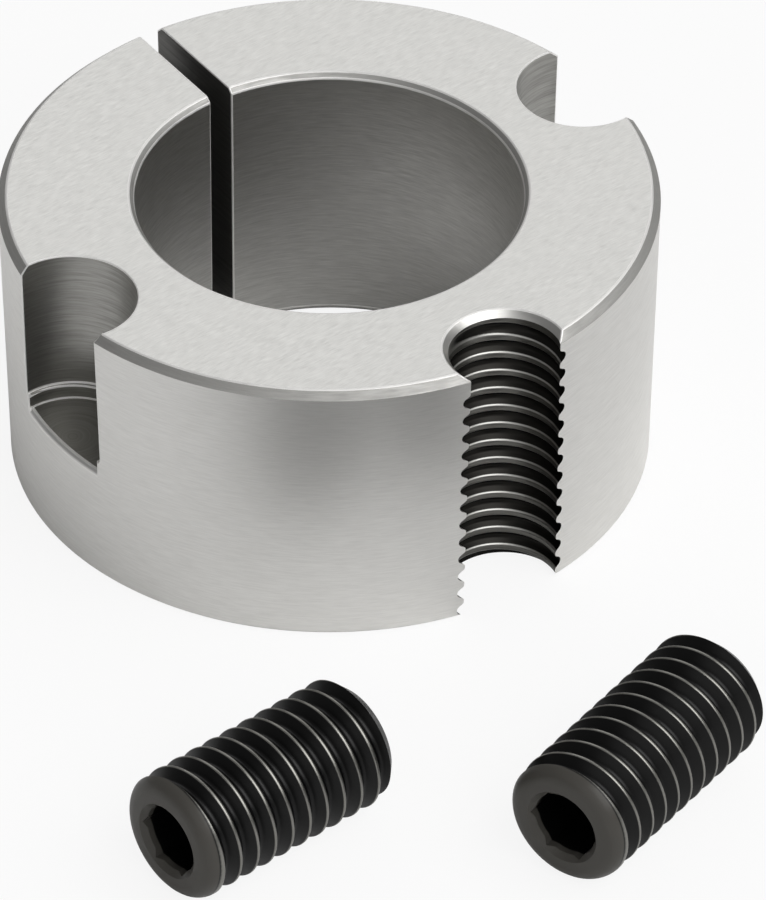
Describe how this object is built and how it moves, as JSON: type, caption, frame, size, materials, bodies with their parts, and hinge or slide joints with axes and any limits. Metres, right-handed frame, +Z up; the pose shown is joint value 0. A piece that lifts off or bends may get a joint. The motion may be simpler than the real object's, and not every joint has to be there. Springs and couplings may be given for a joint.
{
  "type": "taper lock bushing",
  "caption": "Tapered split ring of bright steel that clamps a hub to a shaft, with plain and tapped half holes in its outside and black socket set screws lying in front.",
  "frame": {"origin": "on the axis of the bore, in the plane of the small end, which stands on the floor", "axes": "+Z up along the axis of the bore towards the big end, -Y towards the tapped half hole, +Y towards the split, +X and -X towards the plain half holes"},
  "size_m": [0.0623, 0.0784, 0.0222],
  "materials": {
    "machined_steel": "fine turned",
    "black_oxide_steel": "black oxide"
  },
  "bodies": {
    "root": {"bushing_body": "machined_steel", "set_screw_left": "black_oxide_steel", "set_screw_right": "black_oxide_steel"}
  },
  "joints": []
}
